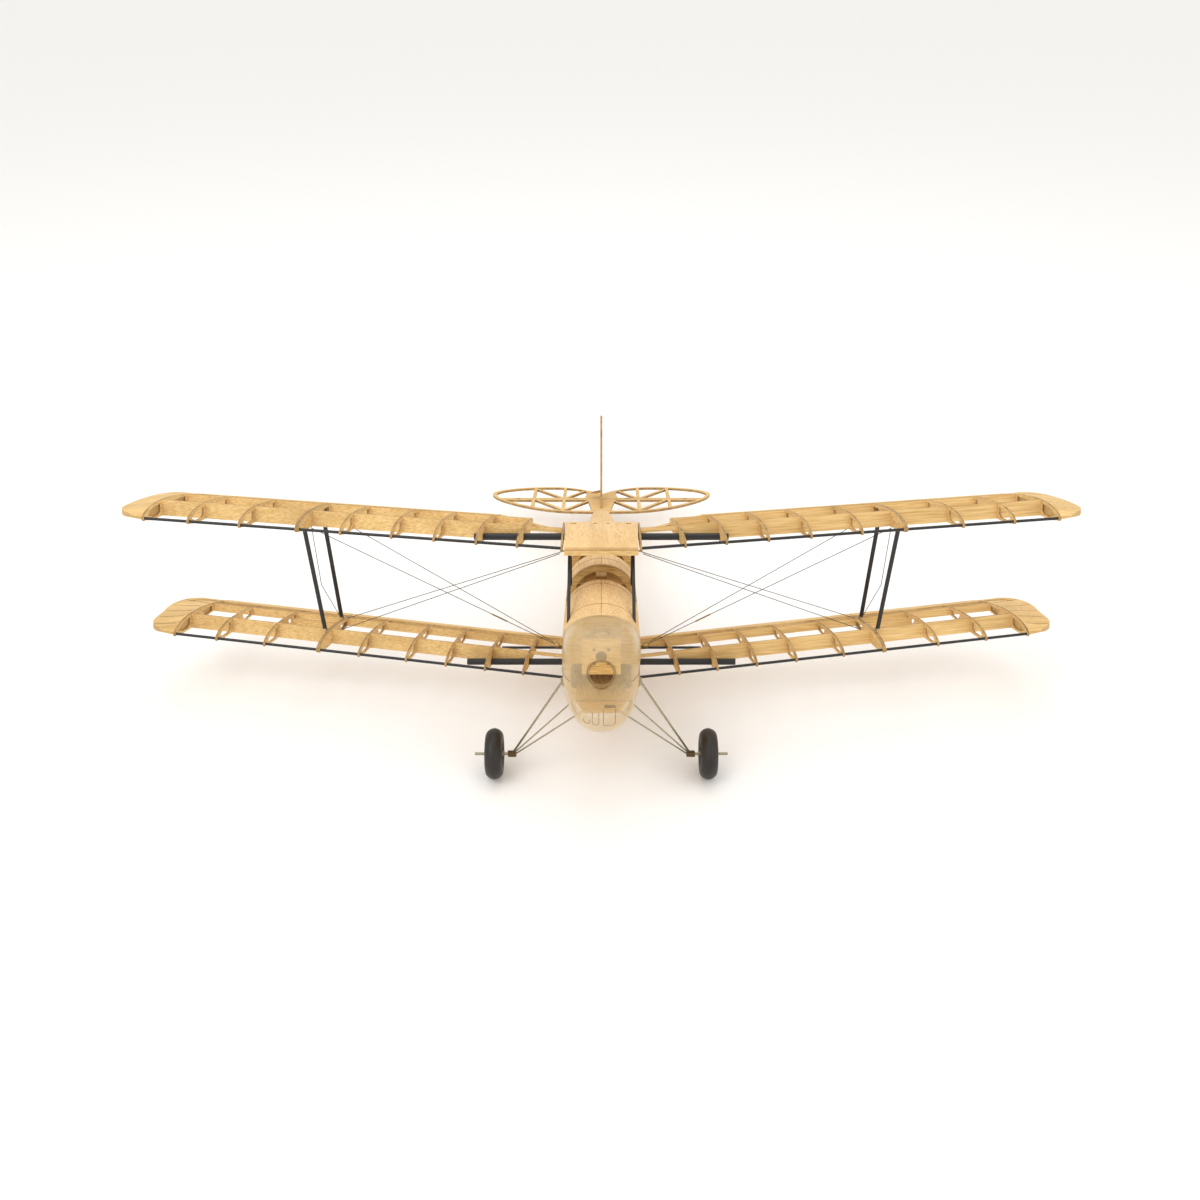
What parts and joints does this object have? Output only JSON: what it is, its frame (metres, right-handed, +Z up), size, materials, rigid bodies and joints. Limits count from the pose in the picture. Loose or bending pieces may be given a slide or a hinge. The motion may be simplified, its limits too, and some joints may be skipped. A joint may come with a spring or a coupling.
{
  "type": "radio-controlled biplane airframe",
  "caption": "Uncovered laser-cut balsa airframe of a two-seat radio-controlled trainer biplane with strutted, wire-braced wings, wheels, moving ailerons, elevator and rudder.",
  "frame": {"origin": "bottom centre of the bounding box, on the floor the tyres and skid stand on", "axes": "+X to port, nose towards -Y, +Z up; the airframe stands nose-up on its tail skid"},
  "size_m": [0.9872, 0.7818, 0.2585],
  "materials": {
    "balsa": "matt, fine straight grain",
    "ply": "matt, three-layer edge",
    "carbon": "satin black",
    "steel": "drawn wire",
    "rigging_wire": "stranded grey",
    "copper_wire": "bound wire",
    "cowl_plastic": "milky, semi-clear",
    "tyre": "matt black-brown",
    "hub": "satin"
  },
  "bodies": {
    "airframe": {"axles": "steel", "cabane_struts": "carbon", "centre_section_lip": "balsa", "centre_section_ribs": "balsa", "centre_section_skin": "balsa", "cowl": "cowl_plastic", "equipment_trays": "ply", "fin": "balsa", "firewall": "ply", "front_deck": "balsa", "fuselage_bottom": "balsa", "fuselage_formers": "ply", "fuselage_side_left": "balsa", "fuselage_side_right": "balsa", "gear_bindings": "copper_wire", "gear_clips": "steel", "gear_legs": "steel", "hinge_tabs": "ply", "interplane_struts": "carbon", "leading_edge_rods": "carbon", "lower_front_spars": "balsa", "lower_joiner_tube": "carbon", "lower_left_ribs": "balsa", "lower_rear_spars": "balsa", "lower_right_ribs": "balsa", "lower_trailing_edges": "balsa", "lower_wing_tips": "balsa", "motor_box": "ply", "motor_plate": "ply", "rear_deck": "balsa", "rear_joiner_rod": "carbon", "rigging_wires": "rigging_wire", "servo_bay_frames": "balsa", "strut_tabs": "steel", "tail_skid": "ply", "tailplane": "balsa", "turnbuckles": "steel", "upper_front_spars": "balsa", "upper_joiner_tube": "carbon", "upper_left_ribs": "balsa", "upper_rear_spars": "balsa", "upper_right_ribs": "balsa", "upper_trailing_edges": "balsa", "upper_wing_tips": "balsa", "wheel_collars": "steel", "wire_fixings": "steel"},
    "left_aileron": {"left_aileron_frame": "balsa", "left_aileron_trailing_edge": "balsa", "left_aileron_fittings": "ply"},
    "right_aileron": {"right_aileron_frame": "balsa", "right_aileron_trailing_edge": "balsa", "right_aileron_fittings": "ply"},
    "elevator_body": {"elevator": "balsa", "elevator_fittings": "ply"},
    "rudder_body": {"rudder": "balsa", "rudder_fittings": "ply"},
    "left_wheel": {"left_tyre": "tyre", "left_hub": "hub"},
    "right_wheel": {"right_tyre": "tyre", "right_hub": "hub"}
  },
  "joints": [
    {"name": "left_aileron_hinge", "type": "hinge", "parent": "airframe", "child": "left_aileron", "pos_m": [0.37028, -0.06863, 0.07494], "axis": [0.992, 0.1123, 0.0585], "range_deg": [-22, 22]},
    {"name": "right_aileron_hinge", "type": "hinge", "parent": "airframe", "child": "right_aileron", "pos_m": [-0.37028, -0.06863, 0.07494], "axis": [-0.992, 0.1123, 0.0585], "range_deg": [-22, 22]},
    {"name": "elevator_hinge", "type": "hinge", "parent": "airframe", "child": "elevator_body", "pos_m": [0, 0.29599, 0.04663], "axis": [1, 0, 0], "range_deg": [-20, 20]},
    {"name": "rudder_hinge", "type": "hinge", "parent": "airframe", "child": "rudder_body", "pos_m": [0, 0.30702, 0.09253], "axis": [0, 0.2131, 0.977], "range_deg": [-22, 22]},
    {"name": "left_wheel_spin", "type": "hinge", "parent": "airframe", "child": "left_wheel", "pos_m": [0.1104, -0.27115, 0.02641], "axis": [1, 0, 0], "continuous": true},
    {"name": "right_wheel_spin", "type": "hinge", "parent": "airframe", "child": "right_wheel", "pos_m": [-0.1104, -0.27115, 0.02641], "axis": [1, 0, 0], "continuous": true}
  ],
  "couplings": [
    {"joint": "right_aileron_hinge", "follows": "left_aileron_hinge", "ratio": 1}
  ]
}
